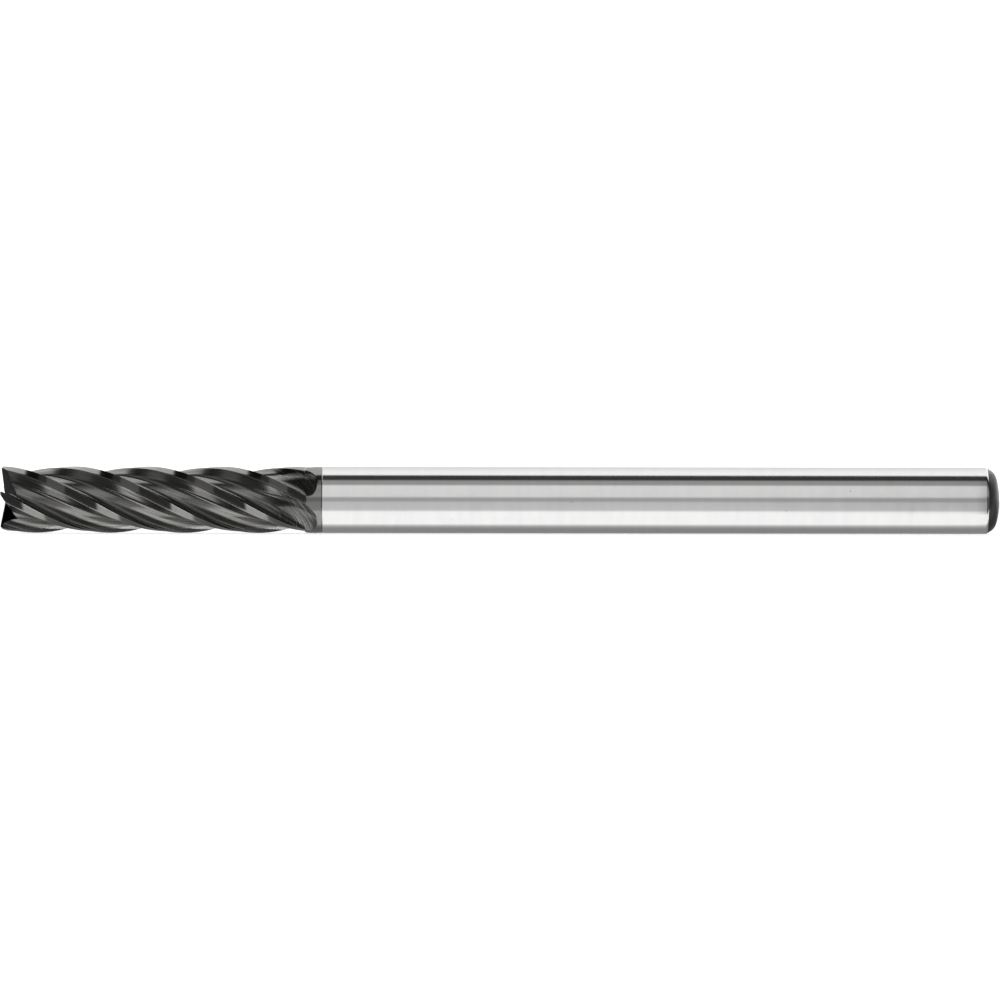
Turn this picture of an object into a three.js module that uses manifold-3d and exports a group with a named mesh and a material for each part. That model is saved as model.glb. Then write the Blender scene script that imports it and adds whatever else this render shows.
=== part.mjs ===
// Extra-long five-flute square end mill: a brazed, coated carbide head on a ground steel shank.
// Millimetres, +Z up. The tool lies along X with its axis through the origin: the origin is the
// centre of the shank's flat end, +X points out of that end, and the cutting tip is at -X.
// Angles on the tool run round its axis: 0 degrees points along -Y and 90 degrees along +Z.
// A tooth's own profile uses "back", the angle in degrees behind that tooth's cutting edge.

import * as THREE from 'three';
import { mergeVertices } from 'three/addons/utils/BufferGeometryUtils.js';
import Module from 'manifold-3d';

const wasm = await Module();
wasm.setup();

// ---------- driving dimensions ----------
const OVERALL_LENGTH = 150;
const RADIUS = 5;
const HEAD_LENGTH = 48.25;
const BRAZE_THICKNESS = 0.125;
const END_LENGTH = 1.75;

const TEETH = 5;
const PITCH = 360 / TEETH;
const HELIX_LEAD = 55.6;
const FIRST_EDGE_ANGLE = 16.2;

// tooth profile, as fractions of the radius and degrees behind the cutting edge
const LAND_WIDTH = 15.5;
const LAND_RELIEF = 17;
const BACK_WIDTH = 14.5;
const BACK_RELIEF = 50;
const CORE_RADIUS = 0.68;
const WALL_RADIUS = 0.16;
const ROOT_RADIUS = 0.3;
const RADIAL_RAKE = 8;
const CORNER_CHAMFER = { depth: 0.2, length: 0.3 };

// end of the flutes, measured along the tool from its tip
const LIFT_START = 40.5;
const FLUTE_END = 47.6;
const RELIEF_END = 45.55;
const RELIEF_RAMP = 0.35;
const SCOOP = { heelStart: 39, heelFull: 45.4, heel: 17, centre: 35, rakeStart: 45.6, halfTip: 3 };

// end teeth
const DISH = 7.5;
const END_RELIEF = 10;
const GASH_SLOPE = 36;
const END_LAND = 0.45;
const EDGE_OFFSET = 0.2;
const GASH_OVERLAP = 0.1;
const GASH_MARGIN = 2;
const GASH_REACH = 1.5 * RADIUS;
const CENTRE_PIT = { radius: 0.6, start: 0.3, depth: 0.75 };

// shank end: a chamfer, then a shallow crown round a flat
const RIM_RADIUS = 4.92;
const CHAMFER_TOP = { radius: 4.0, depth: 0.62 };
const CROWN_RADIUS = 17.6;
const CROWN_EDGE = 3.35;
const END_FLAT = 1.5;

// mesh density
const LAND_STEPS = 3;
const WALL_STEPS = 3;
const ROOT_STEPS = 4;
const SECTION_STEP = 1.25;
const CLOSING_STEPS = 6;
const SHOULDER_STEPS = 3;
const ROUND_SIDES = 96;

// smallest differences that count: for merging points in millimetres, for solving angles in radians
const SAME_POINT = 1e-5;
const SAME_ANGLE = 1e-9;

const rad = THREE.MathUtils.degToRad;
const degrees = THREE.MathUtils.radToDeg;
const tan = (angle) => Math.tan(rad(angle));

// ---------- helpers: points, lofts and solids ----------

// A point on the tool: distance from the tip, angle round the axis, distance from the axis.
function toolPoint(along, angle, radius) {
  const turn = rad(angle);
  return new THREE.Vector3(along - OVERALL_LENGTH, -radius * Math.cos(turn), radius * Math.sin(turn));
}

// Closed mesh through rings of points that lie in planes across X, in order of growing X.
// Each ring runs the way that the angle round the axis falls.
function loft(rings) {
  const count = rings[0].length;
  const points = rings.flat();
  const index = [];
  for (let ring = 0; ring + 1 < rings.length; ring += 1) {
    for (let i = 0; i < count; i += 1) {
      const a = ring * count + i;
      const b = ring * count + ((i + 1) % count);
      index.push(a, b + count, a + count);
      index.push(a, b, b + count);
    }
  }
  const capTriangles = (ring) => {
    const outline = ring.map((point) => new THREE.Vector2(point.y, point.z));
    return THREE.ShapeUtils.triangulateShape(outline, []);
  };
  const last = (rings.length - 1) * count;
  for (const [a, b, c] of capTriangles(rings[0])) index.push(...windingTo(-1, points, a, b, c));
  for (const [a, b, c] of capTriangles(rings.at(-1))) {
    index.push(...windingTo(1, points, last + a, last + b, last + c));
  }
  const geometry = new THREE.BufferGeometry().setFromPoints(points);
  geometry.setIndex(index);
  return geometry;
}

// The three corners in the order that makes their triangle face along +X or -X.
function windingTo(side, points, a, b, c) {
  const first = points[b].clone().sub(points[a]);
  const second = points[c].clone().sub(points[a]);
  const facing = first.cross(second).x;
  return facing * side > 0 ? [a, b, c] : [a, c, b];
}

function toSolid(geometry) {
  const bare = geometry.clone();
  bare.deleteAttribute('normal');
  bare.deleteAttribute('uv');
  const merged = mergeVertices(bare, SAME_POINT);
  const mesh = new wasm.Mesh({
    numProp: 3,
    vertProperties: new Float32Array(merged.attributes.position.array),
    triVerts: new Uint32Array(merged.index.array),
  });
  return new wasm.Manifold(mesh);
}

function toGeometry(solid) {
  const mesh = solid.getMesh();
  const geometry = new THREE.BufferGeometry();
  geometry.setAttribute('position', new THREE.BufferAttribute(mesh.vertProperties, 3));
  geometry.setIndex(new THREE.BufferAttribute(mesh.triVerts, 1));
  return geometry;
}

// Body of revolution about X from [x, radius] points that start and end on the axis.
function revolve(profile) {
  const outline = profile.map(([x, radius]) => new THREE.Vector2(radius, x));
  const geometry = new THREE.LatheGeometry(outline, ROUND_SIDES);
  geometry.rotateZ(-Math.PI / 2);
  return geometry;
}

// ---------- cutting head: tooth profile ----------

// Radius on a flat that leaves the circle of radius start at angle from, with this relief.
function flatRadius(start, from, relief, back) {
  return (start * Math.cos(rad(relief))) / Math.cos(rad(back - from - relief));
}

const HEEL = LAND_WIDTH;
const CREASE = LAND_WIDTH + BACK_WIDTH;
const HEEL_RADIUS = flatRadius(1, 0, LAND_RELIEF, HEEL);

// Radius of the relieved land behind the cutting edge: the primary flat, then the secondary.
function landRadius(back) {
  if (back <= HEEL) return flatRadius(1, 0, LAND_RELIEF, back);
  return flatRadius(HEEL_RADIUS, HEEL, BACK_RELIEF, back);
}

// Where a line from a point touches a circle; side picks one of the two tangents.
function tangentPoint(point, centre, radius, side) {
  const toPoint = point.clone().sub(centre);
  const spread = Math.acos(radius / toPoint.length());
  const turn = toPoint.angle() + side * spread;
  return new THREE.Vector2(Math.cos(turn), Math.sin(turn)).multiplyScalar(radius).add(centre);
}

// A point of the flat section: x to the back of the tooth, y out through its cutting edge.
function flatPoint(back, radius) {
  return new THREE.Vector2(radius * Math.sin(rad(back)), radius * Math.cos(rad(back)));
}

// Points on an arc about the centre, from the start to the end, turning with growing back angle.
function arcPoints(centre, radius, start, end, steps) {
  const startTurn = start.clone().sub(centre).angle();
  let endTurn = end.clone().sub(centre).angle();
  if (endTurn < startTurn) endTurn += 2 * Math.PI;
  const points = [];
  for (let i = 0; i <= steps; i += 1) {
    const turn = THREE.MathUtils.lerp(startTurn, endTurn, i / steps);
    points.push(new THREE.Vector2(Math.cos(turn), Math.sin(turn)).multiplyScalar(radius).add(centre));
  }
  return points;
}

// Back angle where the root arc, which also touches the straight rake face, leaves the core circle.
function rootBack() {
  const distance = CORE_RADIUS + ROOT_RADIUS;
  const rake = rad(RADIAL_RAKE);
  const gap = (angle) => distance * Math.cos(rake) * Math.sin(angle)
    - Math.sin(rake) * (distance * Math.cos(angle) - 1) - ROOT_RADIUS;
  let low = 0;
  let high = rad(PITCH / 2);
  while (high - low > SAME_ANGLE) {
    const middle = (low + high) / 2;
    if (gap(middle) > 0) high = middle;
    else low = middle;
  }
  return PITCH - degrees(low);
}

// The flute's floor between the crease and the next cutting edge, as { back, radius } points:
// a hollow arc down to the core circle, a stretch of that circle, a root arc and a straight rake face.
function fluteFloor() {
  const creaseRadius = landRadius(CREASE);
  const wallDistance = CORE_RADIUS + WALL_RADIUS;
  const reach = creaseRadius ** 2 + wallDistance ** 2 - WALL_RADIUS ** 2;
  const wallBack = CREASE + degrees(Math.acos(reach / (2 * creaseRadius * wallDistance)));
  const rootStartBack = rootBack();
  const wallCentre = flatPoint(wallBack, wallDistance);
  const rootCentre = flatPoint(rootStartBack, CORE_RADIUS + ROOT_RADIUS);
  const crease = flatPoint(CREASE, creaseRadius);
  const wallEnd = flatPoint(wallBack, CORE_RADIUS);
  const rootStart = flatPoint(rootStartBack, CORE_RADIUS);
  const rakeStart = tangentPoint(flatPoint(PITCH, 1), rootCentre, ROOT_RADIUS, -1);
  const wall = arcPoints(wallCentre, WALL_RADIUS, crease, wallEnd, WALL_STEPS).slice(1);
  const core = flatPoint((wallBack + rootStartBack) / 2, CORE_RADIUS);
  const root = arcPoints(rootCentre, ROOT_RADIUS, rootStart, rakeStart, ROOT_STEPS);
  return [...wall, core, ...root].map((point) => (
    { back: degrees(Math.atan2(point.x, point.y)), radius: point.length() }
  ));
}

const FLOOR = fluteFloor();

// ---------- cutting head: how the profile changes along the tool ----------

const ease = (value, from, to) => THREE.MathUtils.smoothstep(value, from, to);

// Quarter-ellipse that falls from 1 to 0 between the two places.
function roundOff(value, from, to) {
  const part = THREE.MathUtils.clamp((value - from) / (to - from), 0, 1);
  return Math.sqrt(1 - part * part);
}

// Back angles where the flute meets the land before it (heel) and the land after it (rake).
function fluteSides(along) {
  const opened = THREE.MathUtils.lerp(CREASE, SCOOP.heel, ease(along, SCOOP.heelStart, SCOOP.heelFull));
  const heelReach = SCOOP.centre - SCOOP.halfTip - opened;
  const rakeReach = PITCH - SCOOP.centre - SCOOP.halfTip;
  return {
    heel: SCOOP.centre - SCOOP.halfTip - heelReach * roundOff(along, RELIEF_END + RELIEF_RAMP, FLUTE_END),
    rake: SCOOP.centre + SCOOP.halfTip + rakeReach * roundOff(along, SCOOP.rakeStart, FLUTE_END),
  };
}

// How deep the flute is at this place, 1 for its full depth.
function fluteDepth(along) {
  const part = THREE.MathUtils.clamp((along - LIFT_START) / (FLUTE_END - LIFT_START), 0, 1);
  return 1 - part * part;
}

// The tool's outer radius, smaller where the corner chamfer is.
function outerRadius(along) {
  const cut = CORNER_CHAMFER.depth * Math.max(0, 1 - along / CORNER_CHAMFER.length);
  return RADIUS - cut;
}

function toothSection(along) {
  const sides = fluteSides(along);
  const depth = fluteDepth(along);
  const filled = THREE.MathUtils.clamp((along - RELIEF_END) / RELIEF_RAMP, 0, 1);
  const landAt = (back) => THREE.MathUtils.lerp(landRadius(Math.max(back, 0)), 1, filled);
  const front = sides.rake - PITCH;
  const heel = THREE.MathUtils.lerp(HEEL, (front + sides.heel) / 2, filled);
  const section = [];
  for (let i = 0; i < LAND_STEPS; i += 1) {
    const back = THREE.MathUtils.lerp(front, heel, i / LAND_STEPS);
    section.push({ back, radius: landAt(back) });
  }
  for (let i = 0; i <= LAND_STEPS; i += 1) {
    const back = THREE.MathUtils.lerp(heel, sides.heel, i / LAND_STEPS);
    section.push({ back, radius: landAt(back) });
  }
  const creaseRadius = THREE.MathUtils.lerp(landRadius(sides.heel), 1, ease(along, RELIEF_END, FLUTE_END));
  FLOOR.forEach((point, i) => {
    const full = (point.back - CREASE) / (PITCH - CREASE);
    const closed = (i + 1) / (FLOOR.length + 1);
    const across = THREE.MathUtils.lerp(closed, full, depth);
    const chord = THREE.MathUtils.lerp(landRadius(CREASE), 1, full);
    section.push({
      back: THREE.MathUtils.lerp(sides.heel, sides.rake, across),
      radius: THREE.MathUtils.lerp(creaseRadius, 1, across) - depth * (chord - point.radius),
    });
  });
  return section;
}

function headRing(along) {
  const section = toothSection(along);
  const turned = FIRST_EDGE_ANGLE - (360 * Math.min(along, FLUTE_END)) / HELIX_LEAD;
  const ring = [];
  for (let tooth = 0; tooth < TEETH; tooth += 1) {
    for (const { back, radius } of section) {
      ring.push(toolPoint(along, turned - tooth * PITCH - back, radius * outerRadius(along)));
    }
  }
  return ring;
}

// Places of the rings: even along the flutes, closer where the flutes run out.
function headStations() {
  const stations = [0, CORNER_CHAMFER.length];
  for (let along = SECTION_STEP; along < RELIEF_END - SECTION_STEP / 2; along += SECTION_STEP) {
    stations.push(along);
  }
  stations.push(RELIEF_END, RELIEF_END + RELIEF_RAMP);
  for (let i = 1; i <= CLOSING_STEPS; i += 1) {
    const part = Math.sin((Math.PI / 2) * (i / CLOSING_STEPS));
    stations.push(THREE.MathUtils.lerp(RELIEF_END + RELIEF_RAMP, FLUTE_END, part));
  }
  stations.push(HEAD_LENGTH);
  return stations;
}

// ---------- cutting head: end teeth ----------

// Cutter for the space behind one end tooth, seen along the axis with x to the back of the tooth
// and y out along its end cutting edge. Its far wall is the next tooth's rake face, its floor
// slopes back from the edge, and its near wall starts just ahead of the edge, in open space.
function endGash(tooth, slope, land) {
  const nearWall = EDGE_OFFSET - GASH_OVERLAP;
  const alongNext = flatPoint(PITCH, 1);
  const acrossNext = flatPoint(PITCH + 90, 1);
  const nextFoot = acrossNext.clone().multiplyScalar(EDGE_OFFSET);
  const toInner = (nearWall - nextFoot.x) / alongNext.x;
  const corners = [
    nextFoot.clone().addScaledVector(alongNext, toInner),
    new THREE.Vector2(nearWall, GASH_REACH),
    nextFoot.clone().addScaledVector(alongNext, GASH_REACH),
  ];
  const floorAt = (corner) => (RADIUS - corner.y) * tan(DISH) + land * tan(END_RELIEF)
    + (corner.x - EDGE_OFFSET - land) * tan(slope);
  const place = (corner, along) => {
    const back = degrees(Math.atan2(corner.x, corner.y));
    return toolPoint(along, FIRST_EDGE_ANGLE - tooth * PITCH - back, corner.length());
  };
  return loft([
    corners.map((corner) => place(corner, -GASH_MARGIN)),
    corners.map((corner) => place(corner, floorAt(corner))),
  ]);
}

// Small conical hollow at the centre of the tip, where the end teeth stop.
function centrePit() {
  const mouth = toolPoint(-GASH_MARGIN, 0, 0).x;
  const wall = toolPoint(CENTRE_PIT.start, 0, 0).x;
  const point = toolPoint(CENTRE_PIT.start + CENTRE_PIT.depth, 0, 0).x;
  return revolve([[mouth, 0], [mouth, CENTRE_PIT.radius], [wall, CENTRE_PIT.radius], [point, 0]]);
}

function cuttingHead() {
  let head = toSolid(loft(headStations().map(headRing)));
  for (let tooth = 0; tooth < TEETH; tooth += 1) {
    head = head.subtract(toSolid(endGash(tooth, END_RELIEF, 0)));
    head = head.subtract(toSolid(endGash(tooth, GASH_SLOPE, END_LAND)));
  }
  return toGeometry(head.subtract(toSolid(centrePit())));
}

// ---------- braze joint, shank and shank end ----------

const HEAD_BACK = HEAD_LENGTH - OVERALL_LENGTH;
const SHANK_START = HEAD_BACK + BRAZE_THICKNESS;

const roundBar = (from, to) => revolve([[from, 0], [from, RADIUS], [to, RADIUS], [to, 0]]);

function shankEnd() {
  const crownDrop = (radius) => (radius ** 2 - END_FLAT ** 2) / (2 * CROWN_RADIUS);
  const profile = [
    [-END_LENGTH, 0],
    [-END_LENGTH, RIM_RADIUS],
    [-CHAMFER_TOP.depth, CHAMFER_TOP.radius],
  ];
  const shoulder = new THREE.QuadraticBezierCurve(
    new THREE.Vector2(-CHAMFER_TOP.depth, CHAMFER_TOP.radius),
    new THREE.Vector2(-CHAMFER_TOP.depth / 2, CHAMFER_TOP.radius - CHAMFER_TOP.depth / 2.5),
    new THREE.Vector2(-crownDrop(CROWN_EDGE), CROWN_EDGE),
  );
  for (const point of shoulder.getPoints(SHOULDER_STEPS).slice(1)) profile.push([point.x, point.y]);
  const middle = (CROWN_EDGE + END_FLAT) / 2;
  profile.push([-crownDrop(middle), middle], [0, END_FLAT], [0, 0]);
  return revolve(profile);
}

// ---------- the tool ----------

function addPart(group, name, geometry, color, roughness, metalness) {
  const material = new THREE.MeshStandardMaterial({ color, roughness, metalness });
  const mesh = new THREE.Mesh(geometry, material);
  mesh.name = name;
  group.add(mesh);
}

const endMill = new THREE.Group();
addPart(endMill, 'cutting_head', cuttingHead(), 0x3c3c3b, 0.35, 0.8);
addPart(endMill, 'braze_joint', roundBar(HEAD_BACK, SHANK_START), 0xcfcabd, 0.3, 1.0);
addPart(endMill, 'shank', roundBar(SHANK_START, -END_LENGTH), 0xc9cacb, 0.12, 1.0);
addPart(endMill, 'shank_end', shankEnd(), 0x2b2b2b, 0.45, 0.6);

export default endMill;
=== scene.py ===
"""Looks for an extra-long five-flute end mill: a coated carbide head brazed to a ground steel shank.

Metres in Blender, millimetres in the driving values. The tool lies along X with the cutting tip at -X.
Angles round the axis are 0 along -Y and 90 along +Z. On a tooth, "back" is the angle behind its edge.
"""

import math

import bpy
import numpy as np
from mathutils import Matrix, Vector


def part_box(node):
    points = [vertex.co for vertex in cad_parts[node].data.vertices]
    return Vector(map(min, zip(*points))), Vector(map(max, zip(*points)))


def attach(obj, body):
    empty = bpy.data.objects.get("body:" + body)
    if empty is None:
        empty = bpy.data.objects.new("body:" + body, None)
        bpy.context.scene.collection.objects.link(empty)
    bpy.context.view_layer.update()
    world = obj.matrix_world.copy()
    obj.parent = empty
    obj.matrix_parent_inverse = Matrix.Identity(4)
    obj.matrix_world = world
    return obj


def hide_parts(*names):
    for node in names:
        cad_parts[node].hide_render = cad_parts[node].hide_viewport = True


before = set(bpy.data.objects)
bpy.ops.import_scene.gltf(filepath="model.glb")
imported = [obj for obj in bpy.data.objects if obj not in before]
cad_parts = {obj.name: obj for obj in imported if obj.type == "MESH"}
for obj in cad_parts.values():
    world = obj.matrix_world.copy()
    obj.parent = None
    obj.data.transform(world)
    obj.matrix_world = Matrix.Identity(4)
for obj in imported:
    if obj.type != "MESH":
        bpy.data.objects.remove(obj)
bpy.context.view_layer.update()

MM = 0.001


def span_mm(node):
    """(lowest, highest) corner of a CAD node in millimetres."""
    low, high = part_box(node)
    return [value / MM for value in low], [value / MM for value in high]


# ---------- places that the CAD frame gives ----------

SHANK_HIGH = span_mm("shank")[1]
TIP_X = span_mm("cutting_head")[0][0]
HEAD_BACK_X = span_mm("cutting_head")[1][0]
BRAZE_BACK_X = span_mm("braze_joint")[1][0]
SHANK_BACK_X = SHANK_HIGH[0]
END_X = span_mm("shank_end")[1][0]
RADIUS = SHANK_HIGH[2]
HEAD_LENGTH = HEAD_BACK_X - TIP_X

# ---------- cutting head ----------

TEETH = 5
PITCH = 360 / TEETH
HELIX_LEAD = 55.6
FIRST_EDGE_ANGLE = 16.2

# tooth profile, as fractions of the radius and degrees behind the cutting edge
LAND_WIDTH = 15.5
LAND_RELIEF = 17
BACK_WIDTH = 14.5
BACK_RELIEF = 50
CORE_RADIUS = 0.68
WALL_RADIUS = 0.16
ROOT_RADIUS = 0.3
RADIAL_RAKE = 8
CORNER_DEPTH = 0.2
CORNER_LENGTH = 0.3
HEEL_ROUND = 0.55
EDGE_ROUND = 0.25

# end of the flutes, measured along the tool from its tip
LIFT_START = 40.5
FLUTE_END = 47.6
RELIEF_END = 45.55
RELIEF_RAMP = 0.35
SCOOP_HEEL_START = 39
SCOOP_HEEL_FULL = 45.4
SCOOP_HEEL = 17
SCOOP_CENTRE = 35
SCOOP_RAKE_START = 45.6
SCOOP_HALF_TIP = 3

# end teeth
DISH = 7.5
END_RELIEF = 10
GASH_SLOPE = 36
END_LAND = 0.45
EDGE_OFFSET = 0.2
GASH_OVERLAP = 0.1
GASH_MARGIN = 2
GASH_REACH = 1.5
PIT_RADIUS = 0.6
PIT_START = 0.3
PIT_DEPTH = 0.75
PIT_MARGIN = 1

# ---------- joint, shank and shank end ----------

# along the tool: gap in front of the braze, bevel, round; across it: dips and drops
JOINT_GAP = 0.02
JOINT_DIP = 0.02
JOINT_BEVEL = 0.03
RIM_ROUND = 0.3
RIM_DROP = 0.085
RIM_POWER = 2.2
RIM_WALL = 0.09
RIM_GAP = 0.015

# the end's outline, from its rim to its flat face: angles to the axis and to the flat, fullness of the curve
GROOVE_DROP = 0.1
END_RIM_DROP = 0.115
END_RIM_BEVEL = (0.04, 0.025)
END_FLAT_RADIUS = 1.45
CHAMFER_ANGLE = 30
CROWN_ANGLE = 8
CURVE_FULLNESS = 0.9
FLAT_RINGS = [0.69, 0.345]

# mesh density
LAND_STEPS = 8
BACK_STEPS = 8
ARC_STEPS = 12
RAKE_STEPS = 6
FLUTE_STEP = 0.25
RUNOUT_STEP = 0.1
COLLAR_STEP = 0.2
RAMP_STEPS = 4
CLOSING_STEPS = 26
SHANK_STEPS = 60
RIM_STEPS = 8
CURVE_STEPS = 24
ROUND_SIDES = 288
SHARP_ANGLE = math.radians(28)
SAME_ANGLE = 1e-9

# ---------- marks of grinding and wear, painted highlights and painted shade, stored on the head ---

# gloss is 1 on the primary lands and the collar and 0 in the flutes; below 0 the colour is darker, and on the
# end faces it is painted shade, near black;
# lanes are offsets that give each flat of each tooth its own marks
SECONDARY_GLOSS = -0.15
RUNOUT_GLOSS = -0.36
RUNOUT_DARKENING = 2.0
# on the end faces the colour is painted shade: near black, standing in for the shade on the end teeth and in
# the gashes
END_PAINTED_SHADE = -0.6
RUNOUT_SWING = 3.7
SWING_POWER = 1.5
DEPTH_STRETCH = 0.8
COLLAR_MARGIN = 1.2
FULL_SHARE = 0.995
ZONE_LANE = 7.0
TOOTH_LANE = 31.0
# worn coating at the cutting edges, with a painted highlight on it; at the heels a painted highlight only,
# where the small round catches light
WEAR_AND_HIGHLIGHT_WIDTH = 0.035
HEEL_PAINTED_HIGHLIGHT = 0.6

# ---------- materials: colours, and widths and lengths of marks in mm ----------

FLUTE_DARK = (0.125, 0.124, 0.117)
FLUTE_PALE = (0.25, 0.248, 0.238)
FLUTE_MARK = (0.42, 0.417, 0.402)
LAND_DARK = (0.2, 0.199, 0.194)
LAND_PALE = (0.24, 0.238, 0.231)
# painted shade: the near-black colour of the end faces
END_FACE_PAINTED_SHADE = (0.014, 0.014, 0.014)
COATING_MOTTLE = (0.09, 0.09, 0.085)
RUNOUT_LINE = (0.5, 0.5, 0.49)
# pale carbide of the worn edges, also the colour of the painted highlights on the edges and heels
WORN_CARBIDE_AND_HIGHLIGHT = (0.6, 0.59, 0.56)
STEEL_DARK = (0.615, 0.615, 0.614)
STEEL_PALE = (0.645, 0.643, 0.638)
STEEL_SPECK = (0.2, 0.19, 0.18)
STEEL_SCRATCH = (0.78, 0.78, 0.78)
BRAZE_DARK = (0.2, 0.19, 0.165)
BRAZE_PALE = (0.42, 0.395, 0.34)
# colours of the dark shank end: darkest, paler rings, paler patches
END_TONE_DARK = (0.032, 0.031, 0.03)
END_TONE_PALE = (0.075, 0.073, 0.07)
END_TONE_PATCH = (0.13, 0.125, 0.12)
FLOOR_COLOUR = (0.92, 0.92, 0.92, 1)

FLUTE_MARKS = {"fine_width": 0.045, "coarse_width": 0.22, "run_length": 9.0}
END_FACE_MARKS = {"fine_width": 0.05, "coarse_width": 0.3, "run_length": 4.0}

# marks as (width across the grinding direction, length along it)
RUNOUT_STREAK = (0.1, 5.0)
STEEL_MARK = (0.03, 4.0)
STEEL_BAND = (1.3, 6.0)
SCRATCH = (7.0, 0.035)
PORE = (0.08, 0.15)
END_TURNING_RING = (0.05, 9.0)
EDGE_CHIP = (0.5, 1 / 3.5)

# patterns without a direction: cells in a metre, then the specks' size as a part of a cell and their share
MOTTLE_CELLS = 900.0
HAZE_CELLS = 260.0
CLOUD_CELLS = 420.0
SPECK_CELLS = 620.0
SPECK_SIZE = 0.06
SPECK_SHARE = 0.2

# heights of the relief in metres
COATING_RELIEF = 0.0000017
STEEL_RELIEF = 0.0000003
BRAZE_RELIEF = 0.000002
END_TONE_RELIEF = 0.0000025

# ---------- studio and camera ----------

# light that comes from each direction round the tool's axis: (elevation from the camera side, radiance)
STUDIO = [
    (-180, 1.4), (-179.2, 1.3), (-178, 0.3), (-118, 0.36), (-108, 0.5), (-98, 0.85), (-92, 1.43), (-42, 1.46),
    (-35, 0.85), (-8, 0.78), (-3, 0.52), (7, 0.54), (12, 1.02), (50, 1.05), (55, 0.46), (70, 0.42),
    (75, 0.05), (93, 0.05), (99, 1.38), (118, 1.3), (150, 0.95), (175, 0.92), (176.2, 1.5),
    (180, 1.5),
]
# the same away from the middle, where the front lights end and the room is dark
STUDIO_SIDES = [
    (-180, 1.4), (-179.2, 1.3), (-178, 0.3), (-118, 0.3), (-108, 0.35), (-94, 0.4), (-87, 1.35), (-50, 1.35),
    (-46, 0.1), (14, 0.09), (18, 0.3), (50, 0.3), (54, 0.11), (66, 0.1), (70, 0.02), (92, 0.015),
    (97, 1.42), (180, 1.5),
]
STUDIO_PEAK = 2.5
SIDES_START = 0.064
SIDES_FULL = 0.11
PALE_LIGHT = 1.0
PALE_POWER = 14.0

# floor and camera in metres
FLOOR_GLOW = 0.32
FLOOR_ROUGHNESS = 0.9
FLOOR_GAP = 0.00005
FLOOR_LINES = [-200.0, -12.0, -1.0, 1.0, 12.0, 200.0]

CAMERA_DISTANCE = 1.2
CAMERA_HEIGHT = 0.00001
CAMERA_ROLL = math.radians(-0.08)
SENSOR_WIDTH = 36
VIEW_WIDTH = 0.15035
CLIP_START = 0.05
CLIP_END = 600


def rad(degrees):
    return math.radians(degrees)


def lerp(a, b, part):
    return a + (b - a) * part


def clamp(value):
    return min(max(value, 0.0), 1.0)


def smooth_step(value, start, end):
    part = clamp((value - start) / (end - start))
    return part * part * (3 - 2 * part)


def tool_point(along, angle, radius):
    """Point on the tool in mm: distance from the tip, angle round the axis, distance from the axis."""
    turn = rad(angle)
    return (TIP_X + along, -radius * math.cos(turn), radius * math.sin(turn))


def edge_angle(along):
    """Angle round the axis of the first tooth's cutting edge."""
    return FIRST_EDGE_ANGLE - 360 * min(along, FLUTE_END) / HELIX_LEAD


# ---------- helpers: meshes ----------


def new_object(name, points_mm, faces, materials):
    """Mesh object from points in mm; materials fill its slots."""
    mesh = bpy.data.meshes.new(name)
    mesh.from_pydata([tuple(c * MM for c in p) for p in points_mm], [], faces)
    mesh.update()
    obj = bpy.data.objects.new(name, mesh)
    bpy.context.scene.collection.objects.link(obj)
    for material in materials:
        mesh.materials.append(material)
    return obj


def loft(rings, closed_ends=True):
    """(points, faces) through rings of equal count, in order of growing X, angle falling in each ring."""
    count = len(rings[0])
    points = [point for ring in rings for point in ring]
    faces = []
    for ring in range(len(rings) - 1):
        for i in range(count):
            a = ring * count + i
            b = ring * count + (i + 1) % count
            faces.append((a, b, b + count, a + count))
    if closed_ends:
        last = (len(rings) - 1) * count
        faces.append(tuple(reversed(range(count))))
        faces.append(tuple(last + i for i in range(count)))
    return points, faces


def revolve(profile):
    """(points, faces) of a body turned about X, from (x, radius) points that start and end on the axis."""
    first, last = profile[0], profile[-1]
    rings = []
    for x, radius in profile[1:-1]:
        turns = [-2 * math.pi * i / ROUND_SIDES for i in range(ROUND_SIDES)]
        rings.append([(x, -radius * math.cos(t), radius * math.sin(t)) for t in turns])
    points, faces = loft(rings, closed_ends=False)
    start = len(points)
    points += [(first[0], 0, 0), (last[0], 0, 0)]
    back = (len(rings) - 1) * ROUND_SIDES
    for i in range(ROUND_SIDES):
        j = (i + 1) % ROUND_SIDES
        faces.append((start, j, i))
        faces.append((start + 1, back + i, back + j))
    return points, faces


def face_outwards(obj):
    """Turns the faces of a closed mesh so that they face out."""
    bpy.context.view_layer.objects.active = obj
    obj.select_set(True)
    bpy.ops.object.mode_set(mode="EDIT")
    bpy.ops.mesh.select_all(action="SELECT")
    bpy.ops.mesh.normals_make_consistent(inside=False)
    bpy.ops.object.mode_set(mode="OBJECT")
    obj.select_set(False)


def shade_smooth(obj):
    """Smooth shading with sharp edges kept, and flats that stay flat beside their small rounded edges."""
    mesh = obj.data
    mesh.polygons.foreach_set("use_smooth", [True] * len(mesh.polygons))
    mesh.set_sharp_from_angle(angle=SHARP_ANGLE)
    weighted = obj.modifiers.new("weighted_normals", "WEIGHTED_NORMAL")
    weighted.keep_sharp = True
    weighted.weight = 100


def store(obj, name, kind, values):
    """Face-corner attribute from a flat array."""
    attribute = obj.data.attributes.new(name, kind, "CORNER")
    attribute.data.foreach_set("vector" if kind == "FLOAT_VECTOR" else "value", values.ravel())


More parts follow.
